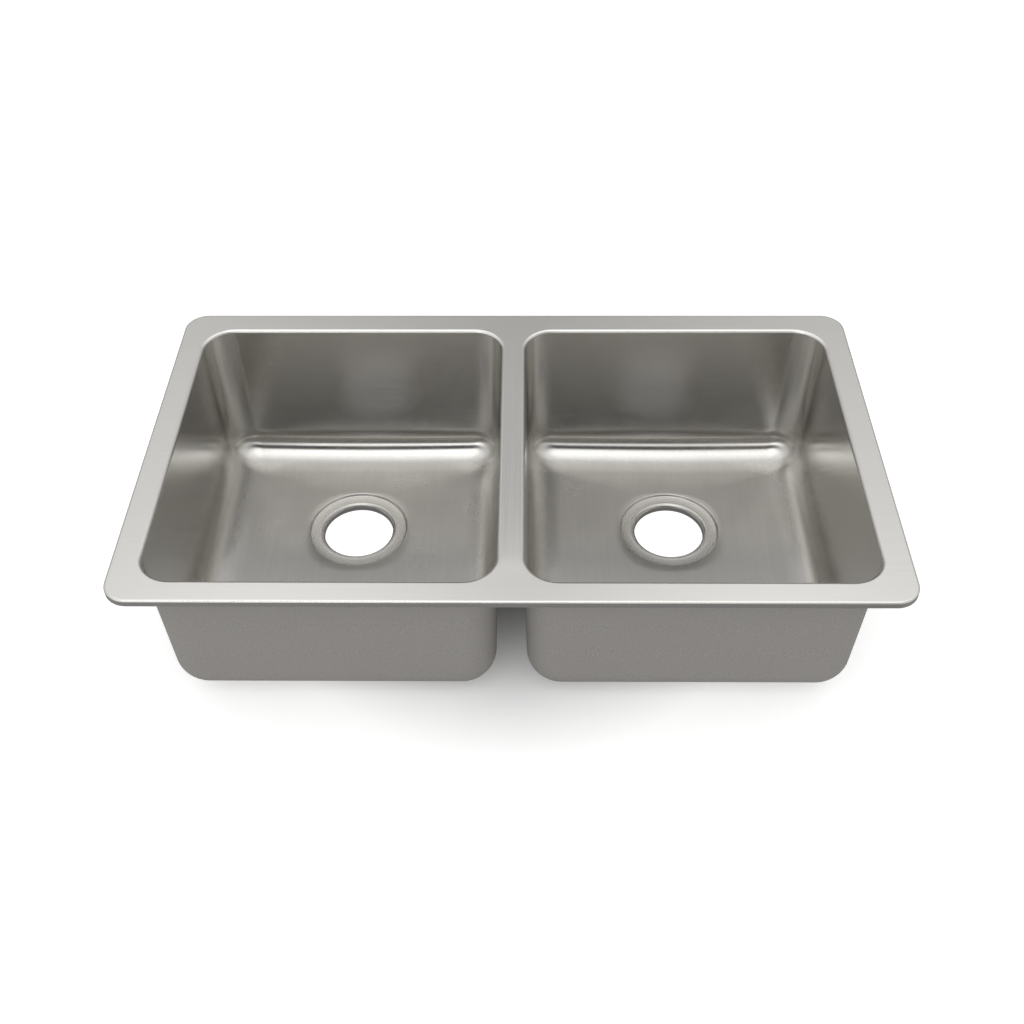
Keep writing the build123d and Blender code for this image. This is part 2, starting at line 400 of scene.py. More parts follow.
def brushed_deck_steel(finish):
    """304 stainless sheet, belt-brushed along X, but along Y on the divider.

    The long fine marks pull highlights out across the grain. The divider gets a grey of its own,
    with a crisp change of grain where it meets the rear rim.
    """
    material, tree, output, place = new_material("brushed 304 stainless sheet")
    axes = add_node(tree, "ShaderNodeSeparateXYZ", links={"Vector": place})
    off_middle = add_node(
        tree, "ShaderNodeMath", {"operation": "ABSOLUTE"}, {0: axes.outputs["X"]},
    ).outputs[0]
    # 1 on the divider: a crisp seam at the rear rim, and a soft change everywhere else
    rear_seam = BOWL_MIDDLE.y + BOWL_HALF.y + bpy.context.scene.sink_deck.edge_roll
    front_end = BOWL_MIDDLE.y - BOWL_HALF.y
    shares = [
        add_node(
            tree, "ShaderNodeMapRange", {"From Min": start, "From Max": end}, {"Value": value},
        ).outputs["Result"]
        for value, start, end in (
            (off_middle, DIVIDER_FLARE, DIVIDER_FLARE / 2),
            (axes.outputs["Y"], rear_seam + SEAM_HALF, rear_seam - SEAM_HALF),
            (axes.outputs["Y"], front_end, front_end + FRONT_BLEND),
        )
    ]
    lengthways = shares[0]
    for share in shares[1:]:
        lengthways = add_node(
            tree, "ShaderNodeMath", {"operation": "MULTIPLY"}, {0: lengthways, 1: share},
        ).outputs[0]
    grain = brush_marks(tree, place, (60, 0.5), (160, 1.4), lengthways)
    colour, roughness = noise_tint_and_roughness(tree, finish.deck_colour, grain, (0.96, 1.02), (0.2, 0.26))
    bump = add_node(
        tree, "ShaderNodeBump", {"Strength": 0.03, "Distance": 0.05 * MM}, {"Height": grain},
    ).outputs["Normal"]
    # the tangent lies across the grain, because the brushed marks spread light that way
    crossways = add_node(
        tree, "ShaderNodeMath", {"operation": "SUBTRACT", 0: 1.0}, {1: lengthways},
    ).outputs[0]
    across = add_node(
        tree, "ShaderNodeCombineXYZ", links={"X": lengthways, "Y": crossways},
    ).outputs["Vector"]
    coat(
        tree, output, {"Metallic": 1.0, "Anisotropic": 0.7},
        {"Base Color": colour, "Roughness": roughness, "Normal": bump, "Tangent": across},
    )
    return material


def brushed_wall_steel(finish):
    """304 stainless wall of a bowl, brushed level all the way round.

    The fine level marks pull reflections out up and down the wall, so it stays a soft grey and
    ends in a crisp line where the polished cove begins.
    """
    material, tree, output, place = new_material("brushed 304 stainless wall")
    # walls that face left or right have their marks along Y, the others along X
    facing = add_node(
        tree, "ShaderNodeSeparateXYZ",
        links={"Vector": add_node(tree, "ShaderNodeNewGeometry").outputs["True Normal"]},
    )
    sideways = add_node(
        tree, "ShaderNodeMath", {"operation": "POWER", 1: 2.0}, {0: facing.outputs["X"]},
    ).outputs[0]
    grain = brush_marks(tree, place, (40, 0.5), (70, 1.6), sideways)
    colour, roughness = noise_tint_and_roughness(tree, finish.bowl_colour, grain, (0.92, 1.05), (0.18, 0.26))
    bump = add_node(
        tree, "ShaderNodeBump", {"Strength": 0.06, "Distance": 0.05 * MM}, {"Height": grain},
    ).outputs["Normal"]
    upwards = add_node(tree, "ShaderNodeCombineXYZ", {"Z": 1.0}).outputs["Vector"]
    coat(
        tree, output, {"Metallic": 1.0, "Anisotropic": 0.5},
        {"Base Color": colour, "Roughness": roughness, "Normal": bump, "Tangent": upwards},
    )
    return material


def polished_floor_steel(finish):
    """304 stainless floor of a bowl: the drawn cove is polished, the floor is left satin.

    The cove shows crisp lines of light, which melt into the soft and darker grey of the floor: the
    satin roughness softens it, and a colour darkened towards the floor adds painted shade.
    """
    material, tree, output, place = new_material("satin polished 304 stainless")
    height = add_node(tree, "ShaderNodeSeparateXYZ", links={"Vector": place}).outputs["Z"]
    grain = streak_noise(tree, place, 90, 5.0, "y", 1.0)
    cloud = add_node(
        tree, "ShaderNodeTexNoise", {"Scale": 1 / (45 * MM), "Detail": 2.0}, {"Vector": place},
    ).outputs["Fac"]
    # 0 on the cove, 1 on the floor
    satin = add_node(
        tree, "ShaderNodeMapRange",
        {"From Min": FLOOR_LEVEL + POLISH_END, "From Max": FLOOR_LEVEL + SATIN_START,
         "interpolation_type": "SMOOTHSTEP"},
        {"Value": height},
    ).outputs["Result"]
    # painted shade: the colour darkens from 1.0 on the cove to 0.7 on the floor, on top of the
    # satin's real roughness
    painted_floor_shade = add_node(
        tree, "ShaderNodeMapRange", {"To Min": 1.0, "To Max": 0.7}, {"Value": satin},
    ).outputs["Result"]
    colour = add_node(
        tree, "ShaderNodeVectorMath", {"operation": "SCALE"},
        {0: tinted(tree, finish.bowl_colour, grain, 0.98, 1.02), "Scale": painted_floor_shade},
    ).outputs["Vector"]
    spread = add_node(
        tree, "ShaderNodeMapRange", {"To Min": 0.23, "To Max": 0.3}, {"Value": satin},
    ).outputs["Result"]
    uneven = add_node(
        tree, "ShaderNodeMapRange",
        {"From Min": NOISE_LOW, "From Max": NOISE_HIGH, "To Min": 0.9, "To Max": 1.1},
        {"Value": cloud},
    ).outputs["Result"]
    roughness = add_node(
        tree, "ShaderNodeMath", {"operation": "MULTIPLY"}, {0: spread, 1: uneven},
    ).outputs[0]
    # polished from front to back, so light spreads sideways: lines along X stay crisp
    across = add_node(tree, "ShaderNodeCombineXYZ", {"X": 1.0}).outputs["Vector"]
    coat(
        tree, output,
        {"Metallic": 1.0, "Anisotropic": 0.85},
        {"Base Color": colour, "Roughness": roughness, "Tangent": across},
    )
    return material


def turned_ring_steel(finish):
    """304 stainless ring round a drain, turned on a lathe: fine circular marks round the hole, on a
    colour darkened as painted shade.
    """
    material, tree, output, place = new_material("lathe-turned 304 stainless")
    # both drains lie as far from the sink's middle, so one material serves the two
    sign = add_node(
        tree, "ShaderNodeVectorMath", {"operation": "SIGN"}, {0: place},
    ).outputs["Vector"]
    middle = add_node(
        tree, "ShaderNodeVectorMath",
        {"operation": "MULTIPLY_ADD", 1: (DRAIN_MIDDLE.x, 0, 0), 2: (0, DRAIN_MIDDLE.y, 0)},
        {0: sign},
    ).outputs["Vector"]
    level = add_node(
        tree, "ShaderNodeVectorMath", {"operation": "MULTIPLY", 1: (1, 1, 0)}, {0: place},
    ).outputs["Vector"]
    outwards = add_node(
        tree, "ShaderNodeVectorMath", {"operation": "SUBTRACT"}, {0: level, 1: middle},
    ).outputs["Vector"]
    distance = add_node(
        tree, "ShaderNodeVectorMath", {"operation": "LENGTH"}, {0: outwards},
    ).outputs["Value"]
    # turning marks are 0.2 mm apart; drawn 0.9 mm apart, the finest that shows in the render
    spread = add_node(
        tree, "ShaderNodeMath", {"operation": "MULTIPLY", 1: 1 / (0.9 * MM)}, {0: distance},
    ).outputs[0]
    rings = add_node(
        tree, "ShaderNodeTexNoise",
        {"noise_dimensions": "1D", "Scale": 1.0, "Detail": 2.0, "Roughness": 0.7}, {"W": spread},
    ).outputs["Fac"]
    # painted shade: a tint of 0.72 to 0.86 darkens the recess and drain against the bowl's steel;
    # its spread follows the turning marks
    colour, roughness = noise_tint_and_roughness(tree, finish.bowl_colour, rings, (0.72, 0.86), (0.2, 0.3))
    coat(
        tree, output,
        {"Metallic": 1.0, "Anisotropic": 0.6},
        {"Base Color": colour, "Roughness": roughness, "Tangent": outwards},
    )
    return material


def blasted_steel(finish):
    """Bead-blasted stainless outside of a bowl: an even matte grey with a sandy grain."""
    material, tree, output, place = new_material("bead-blasted stainless")
    # the grit's own dimples are about 0.2 mm; 1.2 mm is the finest that shows in the render
    sand = add_node(
        tree, "ShaderNodeTexNoise", {"Scale": 1 / (1.2 * MM), "Detail": 2.0, "Roughness": 0.7},
        {"Vector": place},
    ).outputs["Fac"]
    colour = tinted(tree, finish.outside_colour, sand, 0.82, 1.14)
    bump = add_node(
        tree, "ShaderNodeBump", {"Strength": 0.25, "Distance": 0.1 * MM}, {"Height": sand},
    ).outputs["Normal"]
    coat(
        tree, output,
        {"Metallic": 0.35, "Roughness": 0.62},
        {"Base Color": colour, "Normal": bump},
    )
    return material


def galvanised_steel(finish):
    """Hot-dip galvanised channel: cool grey with soft crystals of zinc about 6 mm across."""
    material, tree, output, place = new_material("galvanised steel")
    crystal = add_node(tree, "ShaderNodeTexVoronoi", {"Scale": 1 / (6 * MM)}, {"Vector": place})
    shade = add_node(tree, "ShaderNodeSeparateColor", links={"Color": crystal.outputs["Color"]})
    colour = tinted(tree, finish.channel_colour, shade.outputs[0], 0.82, 1.05, 0.0, 1.0)
    roughness = add_node(
        tree, "ShaderNodeMapRange", {"To Min": 0.38, "To Max": 0.52}, {"Value": shade.outputs[1]},
    ).outputs["Result"]
    coat(tree, output, {"Metallic": 1.0}, {"Base Color": colour, "Roughness": roughness})
    return material


def zinc_plate(finish):
    """Bright zinc-plated steel fastenings: a pale metal with faint cloudy stains."""
    material, tree, output, place = new_material("zinc-plated steel")
    cloud = add_node(
        tree, "ShaderNodeTexNoise", {"Scale": 1 / (4 * MM), "Detail": 4.0}, {"Vector": place},
    ).outputs["Fac"]
    colour, roughness = noise_tint_and_roughness(tree, finish.clip_colour, cloud, (0.85, 1.05), (0.22, 0.38))
    coat(tree, output, {"Metallic": 1.0}, {"Base Color": colour, "Roughness": roughness})
    return material


def butyl_rubber(finish):
    """Moulded butyl rubber pad: near black, with a fine pebbled skin that breaks its shine."""
    material, tree, output, place = new_material("moulded butyl rubber")
    pebble = add_node(
        tree, "ShaderNodeTexVoronoi", {"Scale": 1 / (1.8 * MM)}, {"Vector": place},
    ).outputs["Distance"]
    colour = tinted(tree, finish.pad_colour, pebble, 1.15, 0.8, 0.0, 1.0)
    bump = add_node(
        tree, "ShaderNodeBump", {"Strength": 0.5, "Distance": 0.3 * MM}, {"Height": pebble},
    ).outputs["Normal"]
    coat(tree, output, {"Roughness": 0.7}, {"Base Color": colour, "Normal": bump})
    return material


MADE = {}  # materials built so far, by the function that builds them


def shared(make, finish):
    """The material that make builds, built once and used by every piece that asks for it."""
    if make not in MADE:
        MADE[make] = make(finish)
    return MADE[make]


def dress(node_name, material):
    """Gives a CAD node its material and leaves its shape alone."""
    piece = frame["nodes"][node_name]
    piece.data.materials.clear()
    piece.data.materials.append(material)


# ------------------------------------------------------------------ rim deck
class SINK_OT_rim_deck(bpy.types.Operator):
    """Make the brushed deck with its lip and two rolled openings"""
    bl_idname = "sink.rim_deck"
    bl_label = "Rim Deck"

    def execute(self, context):
        sizes = context.scene.sink_deck
        corner_steps, side_steps = 20, 20
        bm = bmesh.new()
        rim_half = Vector((DECK_HIGH.x, DECK_HIGH.y))
        bend, roll = sizes.lip_bend, sizes.edge_roll
        tight_bend, tight_roll = bend - SHEET, roll - SHEET
        # a narrow flat band next to each bend keeps its shading off the flat of the deck
        support = 0.5 * MM
        # both profiles run from the flat of the deck, over its edge, and back underneath
        lip = [(-bend - support, DECK_TOP)]
        lip += arc(-bend, DECK_TOP - bend, bend, 90, 0, 8)
        lip += [(0.0, 0.0), (-SHEET, 0.0)]
        lip += arc(-bend, DECK_UNDERSIDE - tight_bend, tight_bend, 0, 90, 6)
        lip += [(-bend - support, DECK_UNDERSIDE)]
        edge = [(roll + support, DECK_TOP)]
        edge += arc(roll, DECK_TOP - roll, roll, 90, 180, 10)
        collar = len(edge) - 1
        edge += [(0.0, WELD_LEVEL), (SHEET, WELD_LEVEL)]
        edge += arc(roll, DECK_UNDERSIDE - tight_roll, tight_roll, 180, 90, 8)
        edge += [(roll + support, DECK_UNDERSIDE)]
        lip_loops = [
            add_loop(bm, rounded_loop(
                Vector((0, 0)), rim_half + Vector((offset, offset)), sizes.corner_radius + offset,
                level, corner_steps, side_steps,
            ))
            for offset, level in lip
        ]
        bridge(bm, lip_loops)
        top_edges = loop_edges(bm, lip_loops[0])
        under_edges = loop_edges(bm, lip_loops[-1])
        for side in SIDES.values():
            middle = Vector((side * BOWL_MIDDLE.x, BOWL_MIDDLE.y))
            loops = [
                add_loop(bm, rounded_loop(
                    middle, BOWL_HALF + Vector((offset, offset)), sizes.opening_radius + offset,
                    level, corner_steps, side_steps,
                ))
                for offset, level in edge
            ]
            # below its roll the edge is the collar of the bowl, and brushed as the bowl is
            bridge(bm, loops[:collar + 1])
            bridge(bm, loops[collar:collar + 3], material_index=1)
            bridge(bm, loops[collar + 2:])
            top_edges += loop_edges(bm, loops[0])
            under_edges += loop_edges(bm, loops[-1])
        for edges in (top_edges, under_edges):
            bmesh.ops.triangle_fill(bm, use_beauty=True, edges=edges, normal=UP)
        deck = mesh_object("rim_deck_sheet", smoothed(bm))
        finish = context.scene.sink_finish
        deck.data.materials.append(shared(brushed_deck_steel, finish))
        deck.data.materials.append(shared(brushed_wall_steel, finish))
        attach(deck, "sink")
        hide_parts("rim_deck")
        return {"FINISHED"}


# ------------------------------------------------------------------ bowls
WALL_STEPS = 18  # bands of faces down a wall, from weld to cove
COVE_STEPS = 16  # bands of faces round the cove, from wall to floor
FLOOR_STEPS = 12  # bands of faces across the floor, from cove to recess
RECESS_STEPS = 10  # bands of faces down the step into the recess
DRAIN_STEPS = 8  # bands of faces over the ring's inner edge
STEP_SHIFT = 0.45  # share of the sheet by which the step's outside lies further out
RING_BAND = 2 * MM  # a narrow flat band next to the ring's inner edge, for its shading
BEVEL = 1.6  # shape of the ring's inner edge: 1 is a round, 2 is a straight bevel


def bowl_profile(sizes, wall):
    """Loops down a bowl's skin, from weld to floor: wall 0 is the inside, SHEET the outside.

    Each entry is (half size, corner radius, level). The walls keep one corner radius all the way
    down, and the cove rounds it off towards the flat of the floor.
    """
    loops = []
    corner = bpy.context.scene.sink_deck.opening_radius + wall
    cove = sizes.cove_radius + wall
    cove_top = FLOOR_LEVEL - wall + cove
    depth = WELD_LEVEL - FLOOR_LEVEL
    floor_half = BOWL_HALF - Vector((1, 1)) * math.tan(sizes.wall_draft) * depth
    for step in range(WALL_STEPS + 1):
        level = WELD_LEVEL + (cove_top - WELD_LEVEL) * step / WALL_STEPS
        t = (WELD_LEVEL - level) / depth
        loops.append((BOWL_HALF.lerp(floor_half, t) + Vector((wall, wall)), corner, level))
    start_half = loops[-1][0]
    foot = sizes.floor_corner_radius
    for step in range(1, COVE_STEPS + 1):
        angle = math.pi / 2 * step / COVE_STEPS
        inset = cove * (1 - math.cos(angle))
        level = cove_top - cove * math.sin(angle)
        radius = foot + (corner - foot) * math.cos(angle)
        loops.append((start_half - Vector((inset, inset)), radius, level))
    return loops


def drain_profile(sizes, wall):
    """(radius, level) pairs from the floor, over the soft step, across the ring, into the drain."""
    pairs = []
    # the outside of the step lies a little further out, so that its sheet is of even thickness
    shift = wall * STEP_SHIFT
    outer = sizes.recess_radius + sizes.recess_slope + sizes.recess_bend
    inner = sizes.recess_radius - sizes.recess_bend
    for step in range(RECESS_STEPS + 1):
        t = step / RECESS_STEPS
        level = FLOOR_LEVEL + (RECESS_LEVEL - FLOOR_LEVEL) * smooth_step(t)
        pairs.append((outer + (inner - outer) * t + shift, level - wall))
    edge = DRAIN_RADIUS + sizes.drain_roll
    radius = sizes.drain_roll - wall
    pairs.append((edge + RING_BAND, RECESS_LEVEL - wall))
    for step in range(DRAIN_STEPS + 1):
        angle = math.pi / 2 * step / DRAIN_STEPS
        pairs.append((
            edge - radius * math.sin(angle) ** BEVEL,
            RECESS_LEVEL - wall - radius * (1 - math.cos(angle) ** BEVEL),
        ))
    pairs.append((DRAIN_RADIUS + wall, COLLAR_END))
    return pairs


def bowl_skin(bm, sizes, side, wall, finishes):
    """One skin of a bowl, as loops of vertices from the weld down to the drain's end.

    finishes holds the material slots of its wall, its cove and floor, and its drain.
    """
    corner_steps, side_steps = 18, 18
    count = 4 * (corner_steps + side_steps)
    middle = Vector((side * BOWL_MIDDLE.x, BOWL_MIDDLE.y))
    drain = Vector((side * DRAIN_MIDDLE.x, DRAIN_MIDDLE.y))
    loops = [
        rounded_loop(middle, half, radius, level, corner_steps, side_steps)
        for half, radius, level in bowl_profile(sizes, wall)
    ]
    drain_loops = [
        circle_loop(drain, radius, level, count) for radius, level in drain_profile(sizes, wall)
    ]
    foot, ring = loops[-1], drain_loops[0]
    for step in range(1, FLOOR_STEPS):
        t = step / FLOOR_STEPS
        loops.append([a.lerp(b, t) for a, b in zip(foot, ring)])
    if not wall:
        # inside, the floor falls to the drain, more steeply where the cove runs out into it
        for number, loop in enumerate(loops[WALL_STEPS:]):
            share = smooth_step(number / COVE_STEPS)
            run_out = sizes.floor_run_out * (1 - max(0, number - COVE_STEPS) / FLOOR_STEPS) ** 2
            for point, edge in zip(loop, ring):
                reach = (point.xy - drain).length - (edge.xy - drain).length
                point.z += share * (math.tan(sizes.floor_fall) * reach + run_out)
    drain_start = len(loops)
    loops += drain_loops
    made = [add_loop(bm, points) for points in loops]
    for slot, start, end in zip(
        finishes, (0, WALL_STEPS, drain_start), (WALL_STEPS, drain_start, len(made) - 1),
    ):
        bridge(bm, made[start:end + 1], material_index=slot)
    return made


class SINK_OT_bowls(bpy.types.Operator):
    """Make both drawn bowls, satin inside and blasted outside"""
    bl_idname = "sink.bowls"
    bl_label = "Bowls"

    def execute(self, context):
        sizes = context.scene.sink_bowls
        finish = context.scene.sink_finish
        finishes = (
            shared(brushed_wall_steel, finish), polished_floor_steel(finish),
            turned_ring_steel(finish), blasted_steel(finish),
        )
        for name, side in SIDES.items():
            bm = bmesh.new()
            inner = bowl_skin(bm, sizes, side, 0.0, (0, 1, 2))
            outer = bowl_skin(bm, sizes, side, SHEET, (3, 3, 3))
            bridge(bm, [inner[0], outer[0]], material_index=3)
            bridge(bm, [inner[-1], outer[-1]], material_index=2)
            bowl = mesh_object(f"{name}_drawn_bowl", smoothed(bm))
            for material in finishes:
                bowl.data.materials.append(material)
            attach(bowl, "sink")
            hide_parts(f"{name}_bowl")
        return {"FINISHED"}


# ------------------------------------------------------------------ hidden hardware
class SINK_OT_channels(bpy.types.Operator):
    """Finish the mounting channels under the rim in galvanised steel"""
    bl_idname = "sink.channels"
    bl_label = "Mounting Channels"

    def execute(self, context):
        zinc = galvanised_steel(context.scene.sink_finish)
        for side in ("front", "rear", "left", "right"):
            dress(f"{side}_mounting_channel", zinc)
        return {"FINISHED"}


def bolt_thread_tree():
    """Geometry Nodes that wind a V thread round a bolt's shank, and coat the whole bolt."""
    tree = bpy.data.node_groups.new("bolt thread", "GeometryNodeTree")
    tree.interface.new_socket("Bolt", in_out="OUTPUT", socket_type="NodeSocketGeometry")
    sockets = {
        name: tree.interface.new_socket(name, in_out="INPUT", socket_type=f"NodeSocket{kind}")
        for name, kind in (
            ("Blank", "Geometry"), ("Thread Radius", "Float"), ("Thread Pitch", "Float"),
            ("Turns", "Float"), ("Foot", "Vector"), ("Plate", "Material"),
        )
    }
    sizes = tree.nodes.new("NodeGroupInput").outputs
    half_pitch = add_node(
        tree, "ShaderNodeMath", {"operation": "MULTIPLY", 1: 0.5}, {0: sizes["Thread Pitch"]},
    ).outputs[0]
    path_radius = add_node(
        tree, "ShaderNodeMath", {"operation": "SUBTRACT"},
        {0: sizes["Thread Radius"], 1: half_pitch},
    ).outputs[0]
    height = add_node(
        tree, "ShaderNodeMath", {"operation": "MULTIPLY"},
        {0: sizes["Thread Pitch"], 1: sizes["Turns"]},
    ).outputs[0]
    helix = add_node(
        tree, "GeometryNodeCurveSpiral", {"Resolution": 20},
        {"Rotations": sizes["Turns"], "Start Radius": path_radius, "End Radius": path_radius,
         "Height": height},
    ).outputs["Curve"]
    level_helix = add_node(
        tree, "GeometryNodeSetCurveNormal", {"mode": "Z_UP"}, {"Curve": helix},
    ).outputs["Curve"]
    # four points make the V of the thread, with its crest outwards
    ridge = add_node(
        tree, "GeometryNodeCurvePrimitiveCircle", {"Resolution": 4}, {"Radius": half_pitch},
    ).outputs["Curve"]
    thread = add_node(
        tree, "GeometryNodeCurveToMesh", {"Fill Caps": True},
        {"Curve": level_helix, "Profile Curve": ridge},
    ).outputs["Mesh"]
    placed = add_node(
        tree, "GeometryNodeTransform", links={"Geometry": thread, "Translation": sizes["Foot"]},
    ).outputs["Geometry"]
    whole = tree.nodes.new("GeometryNodeJoinGeometry")
    tree.links.new(placed, whole.inputs["Geometry"])
    tree.links.new(sizes["Blank"], whole.inputs["Geometry"])
    solid = add_node(
        tree, "GeometryNodeRealizeInstances", links={"Geometry": whole.outputs["Geometry"]},
    ).outputs["Geometry"]
    plated = add_node(
        tree, "GeometryNodeSetMaterial", links={"Geometry": solid, "Material": sizes["Plate"]},
    ).outputs["Geometry"]
    result = tree.nodes.new("NodeGroupOutput")
    tree.links.new(plated, result.inputs["Bolt"])
    return tree, sockets


def add_block(bm, low, high, bevel):
    """A block with softened edges, between two corners."""
    size = high - low
    spot = Matrix.Translation((low + high) / 2) @ Matrix.Diagonal((*size, 1.0))
    corners = bmesh.ops.create_cube(bm, size=1.0, matrix=spot)["verts"]
    edges = {edge for corner in corners for edge in corner.link_edges}
    bmesh.ops.bevel(bm, geom=list(edges), offset=bevel, segments=2, profile=0.5, affect="EDGES")


HEAD_BEVEL, NECK_BEVEL = 0.25 * MM, 0.15 * MM
BOLT_CHAMFER = 0.5 * MM  # at the end of the shank
BOLT_OVERLAP = 0.1 * MM  # the neck reaches this far into the head, and the shank into the neck
SHANK_SIDES = 32


def bolt_blank(low, high, sizes):
    """A T-bolt before its thread is cut: head, square neck and plain shank."""
    middle = Vector(((low.x + high.x) / 2, (low.y + high.y) / 2, 0))
    head_low = Vector((low.x, low.y, high.z - sizes.bolt_head))
    bm = bmesh.new()
    add_block(bm, head_low, high, HEAD_BEVEL)
    neck = Vector((sizes.bolt_neck, sizes.bolt_neck, 0)) / 2
    neck_top = middle + neck + Vector((0, 0, head_low.z + BOLT_OVERLAP))
    neck_foot = middle - neck + Vector((0, 0, head_low.z - sizes.bolt_neck_height))
    add_block(bm, neck_foot, neck_top, NECK_BEVEL)
    core = sizes.bolt_radius - sizes.thread_pitch / 2
    loops = [
        add_loop(bm, circle_loop(middle, radius, level, SHANK_SIDES))
        for radius, level in (
            (core - BOLT_CHAMFER, low.z), (core, low.z + BOLT_CHAMFER),
            (core, head_low.z - BOLT_OVERLAP),
        )
    ]
    bridge(bm, loops)
    bm.faces.new(reversed(loops[0]))
    bm.faces.new(loops[-1])
    return bm, middle, head_low.z


class SINK_OT_bolts(bpy.types.Operator):
    """Make the threaded T-bolts that hang in the channels"""
    bl_idname = "sink.bolts"
    bl_label = "T-Bolts"

    def execute(self, context):
        sizes = context.scene.sink_clips
        plate = shared(zinc_plate, context.scene.sink_finish)
        tree, sockets = bolt_thread_tree()
        for node_name in [name for name in frame["nodes"] if name.endswith("_bolt")]:
            low, high = (Vector(corner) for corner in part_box(node_name))
            bm, middle, head_level = bolt_blank(low, high, sizes)
            bolt = mesh_object(f"{node_name}_threaded", smoothed(bm))
            foot = low.z + sizes.thread_pitch
            length = head_level - sizes.bolt_neck_height - sizes.thread_pitch - foot
            modifier = bolt.modifiers.new("thread", "NODES")
            modifier.node_group = tree
            for socket, value in (
                ("Thread Radius", sizes.bolt_radius), ("Thread Pitch", sizes.thread_pitch),
                ("Turns", length / sizes.thread_pitch),
                ("Foot", (middle.x, middle.y, foot)), ("Plate", plate),
            ):
                modifier[sockets[socket].identifier] = value
            evaluated = bolt.evaluated_get(context.evaluated_depsgraph_get())
            mesh = bpy.data.meshes.new_from_object(evaluated)
            bolt.modifiers.clear()
            bolt.data = mesh
            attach(bolt, node_name)
            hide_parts(node_name)
        return {"FINISHED"}


class SINK_OT_clips(bpy.types.Operator):
    """Finish the hold-down claws, washers and nuts in zinc plate"""
    bl_idname = "sink.clips"
    bl_label = "Hold-Down Clips"

    def execute(self, context):
        plate = shared(zinc_plate, context.scene.sink_finish)
        for name in frame["nodes"]:
            if "_clip_" in name and not name.endswith("_bolt"):
                dress(name, plate)
        return {"FINISHED"}


class SINK_OT_sound_pads(bpy.types.Operator):
    """Finish the sound pads under the bowls in black rubber"""
    bl_idname = "sink.sound_pads"
    bl_label = "Sound Pads"

    def execute(self, context):
        rubber = butyl_rubber(context.scene.sink_finish)
        for name in SIDES:
            dress(f"{name}_sound_pad", rubber)
        return {"FINISHED"}


# ------------------------------------------------------------------ stage
ROOM_PEAK = 3.0  # the brightest that a wall of the room can glow
# each wall of the room, as (degrees above the horizon, brightness)
SIDE_WALLS = ((0, 0.95), (24, 0.8), (34, 0.8), (43, 0.7), (56, 1.1), (90, 1.1))
FRONT_LEFT = ((0, 0.8), (24, 1.9), (31, 2.6), (33, 0.0), (45, 0.0), (49, 2.15), (90, 1.7))
FRONT_RIGHT = (
    (0, 0.7), (24, 0.5), (31, 0.7), (33, 0.0), (45, 0.0), (50, 1.3), (64, 1.9), (90, 1.6),
)
BACK_WALL = (
    (0, 0.1), (26, 0.2), (35, 0.7), (42, 0.75), (46, 0.5), (51, 1.5), (66, 1.5), (90, 1.15),
)
BACK_MIDDLE = 0.65  # how bright the middle of the back wall is, against its ends
OFF_MIDDLE = 1 / 3  # sideways part of a heading at which the ends of a wall begin
FLOOR_EDGE = (-0.14, -0.07)  # rise of a ray at which the room's dull floor gives way to its walls
STAGE_HALF = 6.0  # half the width of the floor, in metres
FLOOR_GAP = 0.2 * MM  # the sink's lowest edge to the floor
PAINTED_REFLECTION_GAP = 0.15 * MM  # the same to what the steel mirrors in the drains
CARD_GAP = 0.1 * MM  # the same to the white seen through the drains
# painted light: how brightly the white card under each drain glows
PAINTED_WHITE_GLOW = 1.15
# painted shadow: the floor has no glow within the first radius of the sink's middle, and full glow
# beyond the second
PAINTED_SHADOW_RADIUS, PAINTED_SHADOW_EDGE = 0.21, 0.36  # the floor's own glow begins and is full, in metres


def wall_glow(tree, height, stops):
    """Brightness of one side of the room, from (degrees above the horizon, brightness) pairs."""
    ramp = add_node(tree, "ShaderNodeValToRGB", links={"Fac": height})
    elements = ramp.color_ramp.elements
    for number, (degrees, glow) in enumerate(stops):
        if number in (0, len(stops) - 1):
            element = elements[-1 if number else 0]
            element.position = degrees / 90
        else:
            element = elements.new(degrees / 90)
        element.color = (*[glow / ROOM_PEAK] * 3, 1)
    return ramp.outputs["Color"]


def glow_disc(name, glow, middle, level):
    """A flat glowing disc as wide as a drain: painted light, which lights nothing but shows where
    it is seen or mirrored.
    """
    material, tree, output, _ = new_material(name)
    coat(tree, output, {"Color": (1, 1, 1, 1), "Strength": glow}, kind="ShaderNodeEmission")
    bm = bmesh.new()
    spot = Matrix.Translation((middle.x, middle.y, level))
    bmesh.ops.create_circle(bm, cap_ends=True, segments=64, radius=DRAIN_RADIUS, matrix=spot)
    disc = mesh_object(name, bm)
    disc.data.materials.append(material)
    disc.visible_diffuse = False
    return disc


def lay_floor(stage):
    """A white floor that glows a little, but not under the sink: a painted shadow that darkens the
    bowls' gap.
    """
    material, tree, output, place = new_material("white studio floor")
    away = add_node(
        tree, "ShaderNodeVectorMath", {"operation": "LENGTH"}, {0: place},
    ).outputs["Value"]
    # painted shadow: no glow near the sink, rising to full glow further out
    glow = add_node(
        tree, "ShaderNodeMapRange",
        {"From Min": PAINTED_SHADOW_RADIUS, "From Max": PAINTED_SHADOW_EDGE, "To Min": 0.0,
         "To Max": stage.floor_glow},
        {"Value": away},
    ).outputs["Result"]
    coat(
        tree, output,
        {"Base Color": (*stage.floor_colour, 1), "Roughness": 0.9, "Specular IOR Level": 0.1,
         "Emission Color": (1, 1, 1, 1)},
        {"Emission Strength": glow},
    )
    bm = bmesh.new()
    bmesh.ops.create_grid(bm, x_segments=1, y_segments=1, size=STAGE_HALF)
    bmesh.ops.translate(bm, verts=bm.verts, vec=(0, 0, COLLAR_END - FLOOR_GAP))
    floor = mesh_object("studio_floor", bm)
    floor.data.materials.append(material)
    # the steel mirrors the dull room in place of the lit floor
    floor.visible_glossy = False


